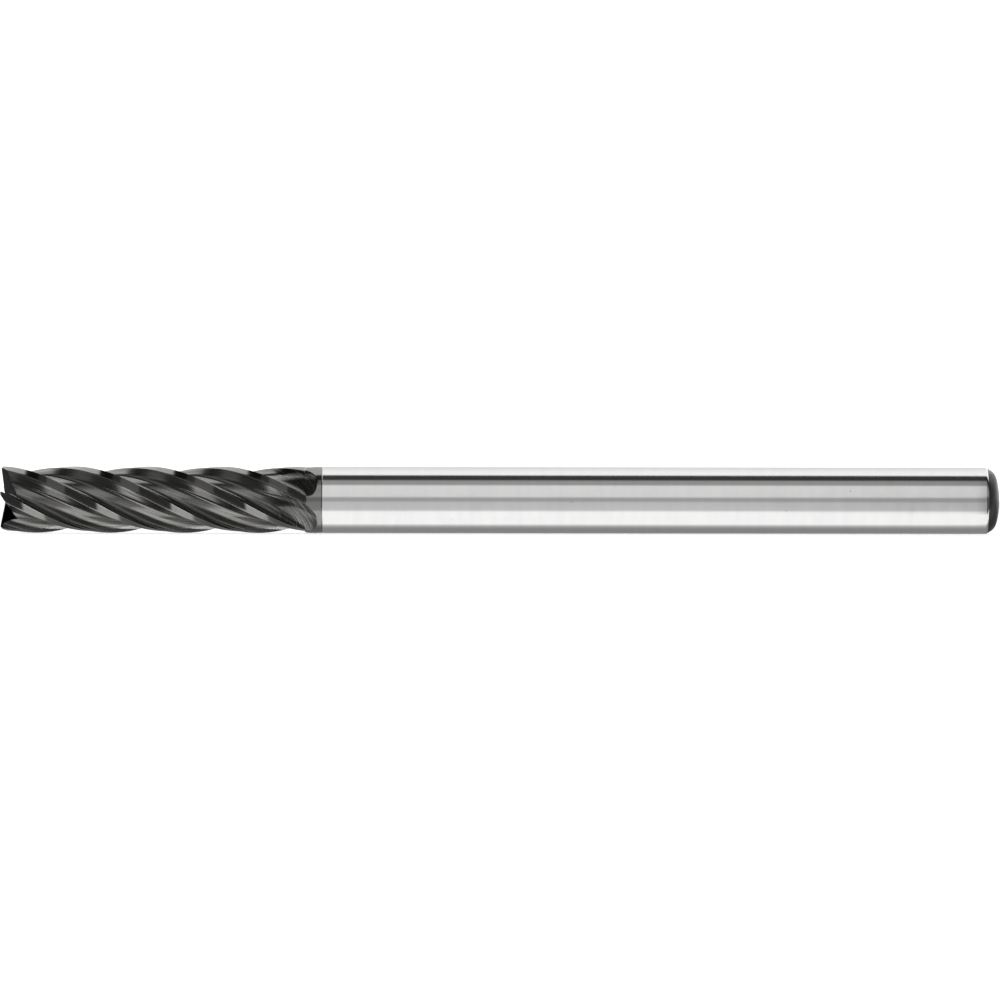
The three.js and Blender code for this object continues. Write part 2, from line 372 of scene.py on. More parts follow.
def corner_points(obj):
    """(points in mm, face of each corner, number of faces) as arrays, one row per face corner."""
    mesh = obj.data
    coords = np.empty(len(mesh.vertices) * 3)
    mesh.vertices.foreach_get("co", coords)
    vertex = np.empty(len(mesh.loops), dtype=np.int64)
    mesh.loops.foreach_get("vertex_index", vertex)
    totals = np.empty(len(mesh.polygons), dtype=np.int64)
    mesh.polygons.foreach_get("loop_total", totals)
    face = np.repeat(np.arange(len(totals)), totals)
    return coords.reshape(-1, 3)[vertex] / MM, face, len(totals)


def face_mean(values, face, faces):
    return np.bincount(face, weights=values, minlength=faces) / np.bincount(face, minlength=faces)


def unwrap(angle, face, faces, period):
    """Angles moved by whole periods so that a face's corners lie together."""
    first = np.zeros(faces)
    first[face[::-1]] = angle[::-1]
    return angle - period * np.round((angle - first[face]) / period)


# ---------- cutting head: tooth profile ----------


def flat_radius(start, first, relief, back):
    """Radius on a flat that leaves the circle of radius start at angle first, with this relief."""
    return start * math.cos(rad(relief)) / math.cos(rad(back - first - relief))


HEEL = LAND_WIDTH
CREASE = LAND_WIDTH + BACK_WIDTH
HEEL_RADIUS = flat_radius(1, 0, LAND_RELIEF, HEEL)


def land_radius(back):
    """Radius of the relieved land: the primary flat, then the secondary."""
    if back <= HEEL:
        return flat_radius(1, 0, LAND_RELIEF, max(back, 0))
    return flat_radius(HEEL_RADIUS, HEEL, BACK_RELIEF, back)


def flat_point(back, radius):
    """Point of the flat section: x to the back of the tooth, y out through its cutting edge."""
    return Vector((radius * math.sin(rad(back)), radius * math.cos(rad(back))))


def tangent_point(point, centre, radius, side):
    """Where a line from the point touches the circle; side picks one of the two tangents."""
    out = point - centre
    turn = math.atan2(out.y, out.x) + side * math.acos(radius / out.length)
    return centre + radius * Vector((math.cos(turn), math.sin(turn)))


def arc_points(centre, radius, start, end, steps):
    """Points along the arc about the centre, counter-clockwise from start's side to end's side."""
    start_turn = math.atan2(*(start - centre).yx)
    end_turn = math.atan2(*(end - centre).yx)
    if end_turn < start_turn:
        end_turn += 2 * math.pi
    turns = [lerp(start_turn, end_turn, i / steps) for i in range(steps + 1)]
    return [centre + radius * Vector((math.cos(turn), math.sin(turn))) for turn in turns]


def root_back():
    """Back angle where the root arc, which also touches the straight rake face, leaves the core circle."""
    distance = CORE_RADIUS + ROOT_RADIUS
    rake = rad(RADIAL_RAKE)
    low, high = 0.0, rad(PITCH / 2)
    while high - low > SAME_ANGLE:
        middle = (low + high) / 2
        side = distance * math.cos(rake) * math.sin(middle)
        depth = math.sin(rake) * (distance * math.cos(middle) - 1)
        if side - depth - ROOT_RADIUS > 0:
            high = middle
        else:
            low = middle
    return PITCH - math.degrees(low)


def flute_floor():
    """The flute's floor from the crease to the next cutting edge as (back, radius, share of its length)."""
    crease_radius = land_radius(CREASE)
    crease = flat_point(CREASE, crease_radius)
    edge = flat_point(PITCH, 1)
    wall_distance = CORE_RADIUS + WALL_RADIUS
    reach = crease_radius**2 + wall_distance**2 - WALL_RADIUS**2
    wall_back = CREASE + math.degrees(math.acos(reach / (2 * crease_radius * wall_distance)))
    wall_centre = flat_point(wall_back, wall_distance)
    core_back = root_back()
    root_centre = flat_point(core_back, CORE_RADIUS + ROOT_RADIUS)
    rake_start = tangent_point(edge, root_centre, ROOT_RADIUS, -1)
    points = arc_points(wall_centre, WALL_RADIUS, crease, flat_point(wall_back, CORE_RADIUS), ARC_STEPS)[1:]
    for i in range(1, ARC_STEPS):
        points.append(flat_point(lerp(wall_back, core_back, i / ARC_STEPS), CORE_RADIUS))
    points += arc_points(root_centre, ROOT_RADIUS, flat_point(core_back, CORE_RADIUS), rake_start, ARC_STEPS)
    points += [rake_start.lerp(edge, i / RAKE_STEPS) for i in range(1, RAKE_STEPS)]
    path = [crease, *points, edge]
    lengths = [(b - a).length for a, b in zip(path, path[1:])]
    floor = []
    travelled = 0.0
    for point, length in zip(points, lengths):
        travelled += length
        back = math.degrees(math.atan2(point.x, point.y))
        floor.append((back, point.length, travelled / sum(lengths)))
    return floor


FLOOR = flute_floor()


def round_off(value, start, end):
    """Quarter-ellipse that falls from 1 to 0 between the two places."""
    part = clamp((value - start) / (end - start))
    return math.sqrt(1 - part * part)


def flute_sides(along):
    """Back angles where the flute meets the land before it and the land after it."""
    opened = lerp(CREASE, SCOOP_HEEL, smooth_step(along, SCOOP_HEEL_START, SCOOP_HEEL_FULL))
    low_side = SCOOP_CENTRE - SCOOP_HALF_TIP
    high_side = SCOOP_CENTRE + SCOOP_HALF_TIP
    heel = low_side - (low_side - opened) * round_off(along, RELIEF_END + RELIEF_RAMP, FLUTE_END)
    rake = high_side + (PITCH - high_side) * round_off(along, SCOOP_RAKE_START, FLUTE_END)
    return heel, rake


def flute_depth(along):
    part = clamp((along - LIFT_START) / (FLUTE_END - LIFT_START))
    return 1 - part * part


def outer_radius(along):
    return RADIUS - CORNER_DEPTH * max(0.0, 1 - along / CORNER_LENGTH)


def land_backs(front, heel, crease):
    """Back angles across both flats, closer together at the small rounds on the edge and the heel."""
    backs = [front, front + EDGE_ROUND]
    inner = heel - HEEL_ROUND
    backs += [lerp(front + EDGE_ROUND, inner, i / LAND_STEPS) for i in range(1, LAND_STEPS + 1)]
    backs += [heel]
    outer = heel + HEEL_ROUND
    backs += [lerp(outer, crease, i / BACK_STEPS) for i in range(BACK_STEPS + 1)]
    return backs


def rounded_land(back, heel):
    """Land radius with the corner at the heel taken down a little."""
    reach = abs(back - heel)
    if reach >= HEEL_ROUND:
        return land_radius(back)
    low = land_radius(heel - HEEL_ROUND)
    high = land_radius(heel + HEEL_ROUND)
    return lerp(land_radius(back), (low + high) / 2, 0.5 * (1 - reach / HEEL_ROUND))


def tooth_section(along):
    """(back, radius) points of one tooth and the flute behind it, radius as a fraction."""
    heel_side, rake_side = flute_sides(along)
    depth = flute_depth(along)
    filled = clamp((along - RELIEF_END) / RELIEF_RAMP)
    front = rake_side - PITCH
    heel = lerp(HEEL, (front + heel_side) / 2, filled)
    section = []
    for back in land_backs(front, heel, heel_side):
        section.append((back, lerp(rounded_land(back, heel), 1, filled)))
    crease_radius = lerp(land_radius(heel_side), 1, smooth_step(along, RELIEF_END, FLUTE_END))
    for back, radius, travelled in FLOOR:
        full = (back - CREASE) / (PITCH - CREASE)
        across = lerp(travelled, full, depth)
        chord = lerp(land_radius(CREASE), 1, full)
        floor_radius = lerp(crease_radius, 1, across) - depth * (chord - radius)
        section.append((lerp(heel_side, rake_side, across), floor_radius))
    return section


def head_ring(along):
    section = tooth_section(along)
    outer = outer_radius(along)
    ring = []
    for tooth in range(TEETH):
        start = edge_angle(along) - tooth * PITCH
        ring += [tool_point(along, start - back, radius * outer) for back, radius in section]
    return ring


def head_stations():
    """Distances from the tip at which the head has a ring of points, closer together where flutes end."""
    stations = [0, CORNER_LENGTH / 2, CORNER_LENGTH]
    count = int((SCOOP_HEEL_START - CORNER_LENGTH) / FLUTE_STEP)
    stations += [CORNER_LENGTH + FLUTE_STEP * i for i in range(1, count)]
    count = round((RELIEF_END - SCOOP_HEEL_START) / RUNOUT_STEP)
    stations += [lerp(SCOOP_HEEL_START, RELIEF_END, i / count) for i in range(count)]
    closing_start = RELIEF_END + RELIEF_RAMP
    stations += [lerp(RELIEF_END, closing_start, i / RAMP_STEPS) for i in range(RAMP_STEPS)]
    for i in range(CLOSING_STEPS + 1):
        part = math.sin(math.pi / 2 * i / CLOSING_STEPS)
        stations.append(lerp(closing_start, FLUTE_END, part))
    stations += [FLUTE_END + COLLAR_STEP, HEAD_LENGTH - JOINT_GAP]
    return stations


# ---------- cutting head: end teeth ----------


def end_gash(tooth, slope, land):
    """(points, faces) of the cutter for the space behind one end tooth."""
    reach = GASH_REACH * RADIUS
    near_wall = EDGE_OFFSET - GASH_OVERLAP
    along_next = flat_point(PITCH, 1)
    next_foot = EDGE_OFFSET * flat_point(PITCH + 90, 1)
    to_inner = (near_wall - next_foot.x) / along_next.x
    corners = [
        next_foot + to_inner * along_next,
        Vector((near_wall, reach)),
        next_foot + reach * along_next,
    ]

    def place(corner, along):
        back = math.degrees(math.atan2(corner.x, corner.y))
        return tool_point(along, FIRST_EDGE_ANGLE - tooth * PITCH - back, corner.length)

    def floor_at(corner):
        dished = (RADIUS - corner.y) * math.tan(rad(DISH)) + land * math.tan(rad(END_RELIEF))
        return dished + (corner.x - EDGE_OFFSET - land) * math.tan(rad(slope))

    front = [place(corner, -GASH_MARGIN) for corner in corners]
    floor = [place(corner, floor_at(corner)) for corner in corners]
    return loft([front, floor])


def centre_pit():
    """(points, faces) of the cutter for the small hollow in the middle of the end teeth."""
    mouth, wall = TIP_X - PIT_MARGIN, TIP_X + PIT_START
    return revolve([(mouth, 0), (mouth, PIT_RADIUS), (wall, PIT_RADIUS), (wall + PIT_DEPTH, 0)])


def cut(obj, shape, name, materials):
    """Takes a closed (points, faces) shape out of obj; the cut faces take the second material slot."""
    cutter = new_object(name, *shape, materials)
    for polygon in cutter.data.polygons:
        polygon.material_index = len(materials) - 1
    face_outwards(cutter)
    modifier = obj.modifiers.new(name, "BOOLEAN")
    modifier.operation = "DIFFERENCE"
    modifier.solver = "MANIFOLD"
    modifier.object = cutter
    bpy.context.view_layer.objects.active = obj
    bpy.ops.object.modifier_apply(modifier=name)
    bpy.data.objects.remove(cutter)


def split_caps(obj, index):
    """Cuts the two end caps, which are face index and the next, into triangles that don't fold."""
    bpy.context.view_layer.objects.active = obj
    obj.select_set(True)
    bpy.ops.object.mode_set(mode="EDIT")
    bpy.ops.mesh.select_all(action="DESELECT")
    bpy.ops.object.mode_set(mode="OBJECT")
    obj.data.polygons[index].select = True
    obj.data.polygons[index + 1].select = True
    bpy.ops.object.mode_set(mode="EDIT")
    bpy.ops.mesh.quads_convert_to_tris(ngon_method="BEAUTY")
    bpy.ops.object.mode_set(mode="OBJECT")
    obj.select_set(False)


def along_helix(point, face, faces):
    """(back angle over all teeth, tooth number) of each face corner of the head."""
    along = point[:, 0] - TIP_X
    angle = np.degrees(np.arctan2(point[:, 2], -point[:, 1]))
    edge = FIRST_EDGE_ANGLE - 360 * np.minimum(along, FLUTE_END) / HELIX_LEAD
    behind = unwrap((edge - angle) % 360, face, faces, 360)
    tooth = np.floor(face_mean(behind, face, faces) / PITCH)[face]
    return behind, tooth


def head_swing(along, zone, in_flute):
    """How far the marks of the run-out swing behind the tooth, in degrees."""
    lift = np.maximum(along - LIFT_START, 0)
    curved = RUNOUT_SWING * lift**SWING_POWER
    swing = np.where((zone == 2) & in_flute, curved, 0)
    return np.where((along > SCOOP_HEEL_START) & (zone == 1), curved, swing)


def head_wear_and_highlight(along, back, radius, on_end):
    """Worn coating with painted highlight from 0 to 1: full at the cutting edges, less at the heels, where it
    is painted highlight only, none on the end faces.
    """
    worn = along < RELIEF_END
    to_edge = np.minimum(np.abs(back), np.abs(PITCH - back)) * rad(1) * radius
    to_heel = np.abs(back - HEEL) * rad(1) * radius
    near_edge = np.exp(-to_edge / WEAR_AND_HIGHLIGHT_WIDTH) * worn
    # painted highlight along the heel
    heel_highlight = HEEL_PAINTED_HIGHLIGHT * np.exp(-to_heel / WEAR_AND_HIGHLIGHT_WIDTH) * worn
    return np.where(on_end, 0, np.maximum(near_edge, heel_highlight))


def head_gloss_and_shade(along, zone, in_flute, collar, on_end):
    """Gloss of each face corner, darker towards the end of the flutes, and painted shade, near black, on the
    end faces.
    """
    gloss_and_shade = np.where(collar | (zone == 0), 1.0, np.where(zone == 1, SECONDARY_GLOSS, 0.0))
    fading = np.clip((along - LIFT_START) / RUNOUT_DARKENING, 0, 1)
    gloss_and_shade = np.where(in_flute & ~collar & (zone > 0), gloss_and_shade + RUNOUT_GLOSS * fading, gloss_and_shade)
    return np.where(on_end, END_PAINTED_SHADE, gloss_and_shade)


def mark_head(obj):
    """Stores where each face corner lies across and along the grinding marks, its wear with painted
    highlight, and its gloss with painted shade.

    The zone is 0 on the primary land, 1 on the second flat and 2 in the flute.
    """
    point, face, faces = corner_points(obj)
    along = point[:, 0] - TIP_X
    radius = np.hypot(point[:, 1], point[:, 2])
    behind, tooth = along_helix(point, face, faces)
    back = behind - tooth * PITCH
    zone = np.digitize(face_mean(back, face, faces)[face], [HEEL, CREASE])
    in_flute = face_mean(radius, face, faces)[face] < FULL_SHARE * RADIUS
    collar = (along > FLUTE_END - COLLAR_MARGIN) & ~in_flute
    material = np.empty(faces, dtype=np.int64)
    obj.data.polygons.foreach_get("material_index", material)
    on_end = material[face] == 1

    helix = math.atan(2 * math.pi * RADIUS / HELIX_LEAD)
    deep = np.where(zone == 2, (RADIUS - radius) * DEPTH_STRETCH, 0)
    swung = back - head_swing(along, zone, in_flute)
    across = np.where(collar, along, rad(1) * RADIUS * math.cos(helix) * swung + deep)
    across = np.where(on_end, radius * np.sin(np.radians(back)), across)
    run = np.where(collar, rad(1) * RADIUS * behind, along / math.cos(helix))
    run = np.where(on_end, radius * np.cos(np.radians(back)), run)
    lane = ZONE_LANE * zone + TOOTH_LANE * tooth
    store(obj, "grind", "FLOAT_VECTOR", np.stack([across, run, lane], axis=1))
    store(obj, "wear_and_highlight", "FLOAT", head_wear_and_highlight(along, back, radius, on_end))
    store(obj, "gloss_and_shade", "FLOAT", head_gloss_and_shade(along, zone, in_flute, collar, on_end))


def cutting_head(materials):
    """The head, with the end teeth's faces in the second material."""
    points, faces = loft([head_ring(along) for along in head_stations()])
    obj = new_object("cutting_head_fine", points, faces, materials)
    split_caps(obj, len(faces) - 2)
    face_outwards(obj)
    for tooth in range(TEETH):
        cut(obj, end_gash(tooth, END_RELIEF, 0), f"end_land_{tooth}", materials)
        cut(obj, end_gash(tooth, GASH_SLOPE, END_LAND), f"end_gash_{tooth}", materials)
    cut(obj, centre_pit(), "centre_pit", materials)
    mark_head(obj)
    shade_smooth(obj)
    return obj


# ---------- braze joint, shank and shank end ----------


def mark_round(obj):
    """Stores where each face corner of a turned piece lies along its outline and round it, and no wear."""
    point, face, faces = corner_points(obj)
    angle = np.degrees(np.arctan2(point[:, 2], -point[:, 1]))
    angle = unwrap(angle, face, faces, 360)
    radius = np.hypot(point[:, 1], point[:, 2])
    across = point[:, 0] - radius
    store(obj, "grind", "FLOAT_VECTOR", np.stack([across, rad(1) * RADIUS * angle, 0 * across], axis=1))
    store(obj, "wear_and_highlight", "FLOAT", 0 * across)


def turned_piece(name, profile, material):
    points, faces = revolve(profile)
    obj = new_object(name, points, faces, [material])
    face_outwards(obj)
    mark_round(obj)
    shade_smooth(obj)
    return obj


def shank_profile():
    """(x, radius) points of the shank: a small bevel at the joint and a rounded rim at the back."""
    start, end = BRAZE_BACK_X, SHANK_BACK_X
    profile = [(start, 0), (start, RADIUS - JOINT_DIP)]
    for i in range(SHANK_STEPS + 1):
        profile.append((lerp(start + JOINT_BEVEL, end - RIM_ROUND, i / SHANK_STEPS), RADIUS))
    for i in range(1, RIM_STEPS + 1):
        part = i / RIM_STEPS
        profile.append((end - RIM_ROUND * (1 - part), RADIUS - RIM_DROP * part**RIM_POWER))
    profile += [(end - RIM_GAP, RADIUS - RIM_DROP - RIM_WALL), (end - RIM_GAP, 0)]
    return profile


def bezier_point(corners, part):
    """Point of the Bezier curve that these control corners make."""
    while len(corners) > 1:
        corners = [a.lerp(b, part) for a, b in zip(corners, corners[1:])]
    return corners[0]


def end_curve():
    """(x, radius) points of the end's outline, chamfered at the rim and nearly flat at the face."""
    bevel_length, bevel_drop = END_RIM_BEVEL
    rim = Vector((SHANK_BACK_X + bevel_length, RADIUS - END_RIM_DROP))
    flat = Vector((END_X, END_FLAT_RADIUS))
    chamfer_slope = math.tan(rad(CHAMFER_ANGLE))
    crown_slope = 1 / math.tan(rad(CROWN_ANGLE))
    drop = rim.y - flat.y - chamfer_slope * (flat.x - rim.x)
    meet_x = flat.x - drop / (crown_slope - chamfer_slope)
    meet = Vector((meet_x, rim.y - chamfer_slope * (meet_x - rim.x)))
    corners = [rim, rim.lerp(meet, CURVE_FULLNESS), flat.lerp(meet, CURVE_FULLNESS), flat]
    points = [bezier_point(corners, i / CURVE_STEPS) for i in range(CURVE_STEPS + 1)]
    return [(SHANK_BACK_X, rim.y - bevel_drop)] + [tuple(point) for point in points]


def shank_end_profile():
    """(x, radius) points of the end: the groove in front of its rim, the curve, and rings on the flat."""
    profile = [(SHANK_BACK_X, 0), (SHANK_BACK_X, RADIUS - RIM_DROP - GROOVE_DROP)]
    profile += end_curve()
    profile += [(END_X, END_FLAT_RADIUS * share) for share in FLAT_RINGS]
    return profile + [(END_X, 0)]


def braze_profile():
    """(x, radius) points of the braze: a ring that dips a little below the head and the shank."""
    low, high = HEAD_BACK_X, BRAZE_BACK_X
    middle = (low + high) / 2
    edge = RADIUS - JOINT_DIP
    return [(low, 0), (low, edge), (middle, RADIUS - 2 * JOINT_DIP), (high, edge), (high, 0)]


# ---------- materials ----------


class Nodes:
    """Short calls for a material's node tree."""

    def __init__(self, name):
        self.material = bpy.data.materials.new(name)
        self.material.use_nodes = True
        self.tree = self.material.node_tree
        self.shader = self.tree.nodes["Principled BSDF"]

    def add(self, kind, **settings):
        node = self.tree.nodes.new(kind)
        for key, value in settings.items():
            setattr(node, key, value)
        return node

    def link(self, output, target):
        self.tree.links.new(output, target)

    def attribute(self, name, output):
        return self.add("ShaderNodeAttribute", attribute_name=name).outputs[output]

    def scaled(self, vector, scale, offset):
        node = self.add("ShaderNodeMapping")
        node.inputs["Scale"].default_value = scale
        node.inputs["Location"].default_value = offset
        self.link(vector, node.inputs["Vector"])
        return node.outputs["Vector"]

    def noise(self, vector, scale, detail, rough=0.55):
        node = self.add("ShaderNodeTexNoise")
        node.inputs["Scale"].default_value = scale
        node.inputs["Detail"].default_value = detail
        node.inputs["Roughness"].default_value = rough
        self.link(vector, node.inputs["Vector"])
        return node.outputs["Fac"]

    def remap(self, value, low, high, to_low, to_high):
        node = self.add("ShaderNodeMapRange")
        for key, number in zip(("From Min", "From Max", "To Min", "To Max"), (low, high, to_low, to_high)):
            node.inputs[key].default_value = number
        self.link(value, node.inputs["Value"])
        return node.outputs["Result"]

    def math(self, operation, a, b):
        node = self.add("ShaderNodeMath", operation=operation)
        for socket, value in zip(node.inputs, (a, b)):
            if isinstance(value, (int, float)):
                socket.default_value = value
            else:
                self.link(value, socket)
        return node.outputs["Value"]

    def mix(self, factor, a, b):
        node = self.add("ShaderNodeMix", data_type="RGBA")
        self.link(factor, node.inputs["Factor"])
        colours = [s for s in node.inputs if s.type == "RGBA"]
        for socket, value in zip(colours, (a, b)):
            if isinstance(value, tuple):
                socket.default_value = (*value, 1)
            else:
                self.link(value, socket)
        return [s for s in node.outputs if s.type == "RGBA"][0]

    def bump(self, height, distance):
        node = self.add("ShaderNodeBump")
        node.inputs["Distance"].default_value = distance
        node.inputs["Strength"].default_value = 1.0
        self.link(height, node.inputs["Height"])
        return node.outputs["Normal"]

    def streaks(self, size, detail, rough=0.55, offset=(0, 0, 0)):
        """Noise drawn out along the stored grinding marks: size is (across them, along them) in mm."""
        across, along = size
        place = self.scaled(self.attribute("grind", "Vector"), (1 / across, 1 / along, 1), offset)
        return self.noise(place, 1.0, detail, rough)

    def object_point(self):
        return self.add("ShaderNodeTexCoord").outputs["Object"]

    def specks(self, scale, size, share):
        """Mask of scattered small dots: size as a part of the cell, share of the cells that have one."""
        cells = self.add("ShaderNodeTexVoronoi")
        cells.inputs["Scale"].default_value = scale
        self.link(self.object_point(), cells.inputs["Vector"])
        dot = self.remap(cells.outputs["Distance"], size * 0.6, size, 1.0, 0.0)
        picked = self.math("LESS_THAN", self.red(cells.outputs["Color"]), share)
        return self.math("MULTIPLY", dot, picked)

    def red(self, colour):
        node = self.add("ShaderNodeSeparateColor")
        self.link(colour, node.inputs["Color"])
        return node.outputs["Red"]


def coating_colour(n, gloss_and_shade, fine, coarse, mottle):
    """Colour of the clean coating in the flutes and on the lands, and painted shade, near black, on the end
    faces.
    """
    flute = n.mix(n.remap(coarse, 0.3, 0.7, 0.0, 1.0), FLUTE_DARK, FLUTE_PALE)
    flute = n.mix(n.remap(fine, 0.45, 0.72, 0.0, 0.7), flute, FLUTE_MARK)
    land = n.mix(n.remap(fine, 0.3, 0.7, 0.0, 1.0), LAND_DARK, LAND_PALE)
    colour = n.mix(n.remap(gloss_and_shade, 0.0, 1.0, 0.0, 1.0), flute, land)
    # painted shade: below 0 the colour goes darker, towards the near black of the end faces
    colour = n.mix(n.remap(gloss_and_shade, END_PAINTED_SHADE, 0.0, 1.0, 0.0), colour, END_FACE_PAINTED_SHADE)
    return n.mix(n.remap(mottle, 0.55, 0.75, 0.0, 0.3), colour, COATING_MOTTLE)


def runout_lines(n, gloss_and_shade):
    """Mask of the bright lines in the run-out, where the gloss is low but not the end faces'."""
    lines = n.streaks(RUNOUT_STREAK, 1.0, offset=(11, 5, 3))
    lines = n.remap(lines, 0.58, 0.66, 0.0, 1.0)
    lines = n.math("MULTIPLY", lines, n.remap(gloss_and_shade, -0.3, -0.05, 0.75, 0.0))
    return n.math("MULTIPLY", lines, n.remap(gloss_and_shade, END_PAINTED_SHADE, -0.4, 0.0, 1.0))


def coated_carbide(name, fine_width, coarse_width, run_length):
    """Dark hard coating over ground carbide: grinding marks along the flutes, worn edges with painted
    highlights on them and on the heels, faint mottling, painted shade on the end faces.
    """
    n = Nodes(name)
    gloss_and_shade = n.attribute("gloss_and_shade", "Fac")
    fine = n.streaks((fine_width, run_length), 4.0, 0.6)
    coarse = n.streaks((coarse_width, 2 * run_length), 2.0, offset=(5, 3, 0))
    mottle = n.noise(n.object_point(), MOTTLE_CELLS, 5.0, 0.6)
    colour = coating_colour(n, gloss_and_shade, fine, coarse, mottle)
    colour = n.mix(runout_lines(n, gloss_and_shade), colour, RUNOUT_LINE)
    chips = n.remap(n.streaks(EDGE_CHIP, 4.0), 0.35, 0.7, 0.1, 1.0)
    # worn edges, and painted highlights on the edges and heels, turn towards pale carbide
    colour = n.mix(n.math("MULTIPLY", n.attribute("wear_and_highlight", "Fac"), chips), colour, WORN_CARBIDE_AND_HIGHLIGHT)
    n.link(colour, n.shader.inputs["Base Color"])
    rough = n.math("ADD", n.remap(gloss_and_shade, 0.0, 1.0, 0.2, 0.07), n.remap(fine, 0.3, 0.7, 0.0, 0.06))
    rough = n.math("ADD", rough, n.remap(mottle, 0.4, 0.7, 0.0, 0.03))
    n.link(rough, n.shader.inputs["Roughness"])
    height = n.math("ADD", fine, n.math("MULTIPLY", coarse, 1.6))
    height = n.math("MULTIPLY", height, n.remap(gloss_and_shade, 0.0, 1.0, 1.0, 0.16))
    n.link(n.bump(height, COATING_RELIEF), n.shader.inputs["Normal"])
    n.shader.inputs["Metallic"].default_value = 1.0
    return n.material


def ground_steel(name):
    """Bright ground steel: fine marks round the shank, faint haze, a few specks and scratches."""
    n = Nodes(name)
    fine = n.streaks(STEEL_MARK, 4.0, 0.6)
    haze = n.noise(n.object_point(), HAZE_CELLS, 4.0)
    colour = n.mix(n.remap(n.streaks(STEEL_BAND, 3.0), 0.3, 0.7, 0.0, 1.0), STEEL_DARK, STEEL_PALE)
    specks = n.specks(SPECK_CELLS, SPECK_SIZE, SPECK_SHARE)
    colour = n.mix(n.math("MULTIPLY", specks, 0.55), colour, STEEL_SPECK)
    scratch = n.remap(n.streaks(SCRATCH, 2.0, offset=(2, 7, 4)), 0.735, 0.76, 0.0, 1.0)
    colour = n.mix(n.math("MULTIPLY", scratch, 0.4), colour, STEEL_SCRATCH)
    n.link(colour, n.shader.inputs["Base Color"])
    rough = n.math("ADD", n.remap(fine, 0.3, 0.7, 0.08, 0.12), n.remap(haze, 0.35, 0.7, 0.0, 0.03))
    rough = n.math("ADD", rough, n.math("MULTIPLY", specks, 0.25))
    n.link(rough, n.shader.inputs["Roughness"])
    height = n.math("SUBTRACT", fine, n.math("MULTIPLY", specks, 1.5))
    n.link(n.bump(height, STEEL_RELIEF), n.shader.inputs["Normal"])
    n.shader.inputs["Metallic"].default_value = 1.0
    return n.material


def silver_braze(name):
    """Pale warm silver alloy, slightly porous."""
    n = Nodes(name)
    pores = n.streaks(PORE, 4.0)
    colour = n.mix(n.remap(pores, 0.35, 0.65, 0.0, 1.0), BRAZE_DARK, BRAZE_PALE)
    n.link(colour, n.shader.inputs["Base Color"])
    n.link(n.remap(pores, 0.3, 0.7, 0.25, 0.42), n.shader.inputs["Roughness"])
    n.link(n.bump(pores, BRAZE_RELIEF), n.shader.inputs["Normal"])
    n.shader.inputs["Metallic"].default_value = 1.0
    return n.material


def blackened_steel(name):
    """Turned end coloured dark: rings from the tool, a dull dark colour with paler patches."""
    n = Nodes(name)
    rings = n.streaks(END_TURNING_RING, 3.0, 0.6)
    cloud = n.noise(n.object_point(), CLOUD_CELLS, 5.0, 0.62)
    colour = n.mix(n.remap(rings, 0.3, 0.7, 0.0, 1.0), END_TONE_DARK, END_TONE_PALE)
    colour = n.mix(n.remap(cloud, 0.52, 0.7, 0.0, 0.7), colour, END_TONE_PATCH)
    n.link(colour, n.shader.inputs["Base Color"])
    n.link(n.remap(cloud, 0.35, 0.7, 0.42, 0.3), n.shader.inputs["Roughness"])
    height = n.math("ADD", rings, n.math("MULTIPLY", cloud, 0.5))
    n.link(n.bump(height, END_TONE_RELIEF), n.shader.inputs["Normal"])
    n.shader.inputs["Metallic"].default_value = 0.85
    return n.material


# ---------- studio ----------


class WorldNodes:
    """Short calls for the studio's node tree."""

    def __init__(self):
        world = bpy.data.worlds.new("studio")
        bpy.context.scene.world = world
        world.use_nodes = True
        self.tree = world.node_tree
        self.tree.nodes.clear()

    def add(self, kind):
        return self.tree.nodes.new(kind)

    def link(self, output, target):
        self.tree.links.new(output, target)

    def math(self, operation, a, b=None):
        node = self.add("ShaderNodeMath")
        node.operation = operation
        for socket, value in zip(node.inputs, (a, b)):
            if isinstance(value, (int, float)):
                socket.default_value = value
            elif value is not None:
                self.link(value, socket)
        return node.outputs["Value"]

    def strips(self, place, levels):
        """Colour ramp over the whole circle of elevations."""
        ramp = self.add("ShaderNodeValToRGB")
        self.link(place, ramp.inputs["Fac"])
        elements = ramp.color_ramp.elements
        while len(elements) > 1:
            elements.remove(elements[-1])
        for index, (angle, radiance) in enumerate(levels):
            position = angle / 360 + 0.5
            element = elements[0] if index == 0 else elements.new(position)
            element.position = position
            element.color = (*[radiance / STUDIO_PEAK] * 3, 1)
        return ramp.outputs["Color"]

    def mix(self, factor, a, b):
        node = self.add("ShaderNodeMix")
        node.data_type = "RGBA"
        self.link(factor, node.inputs["Factor"])
        colours = [socket for socket in node.inputs if socket.type == "RGBA"]
        for socket, value in zip(colours, (a, b)):
            if isinstance(value, tuple):
                socket.default_value = value
            else:
                self.link(value, socket)
        return next(socket for socket in node.outputs if socket.type == "RGBA")


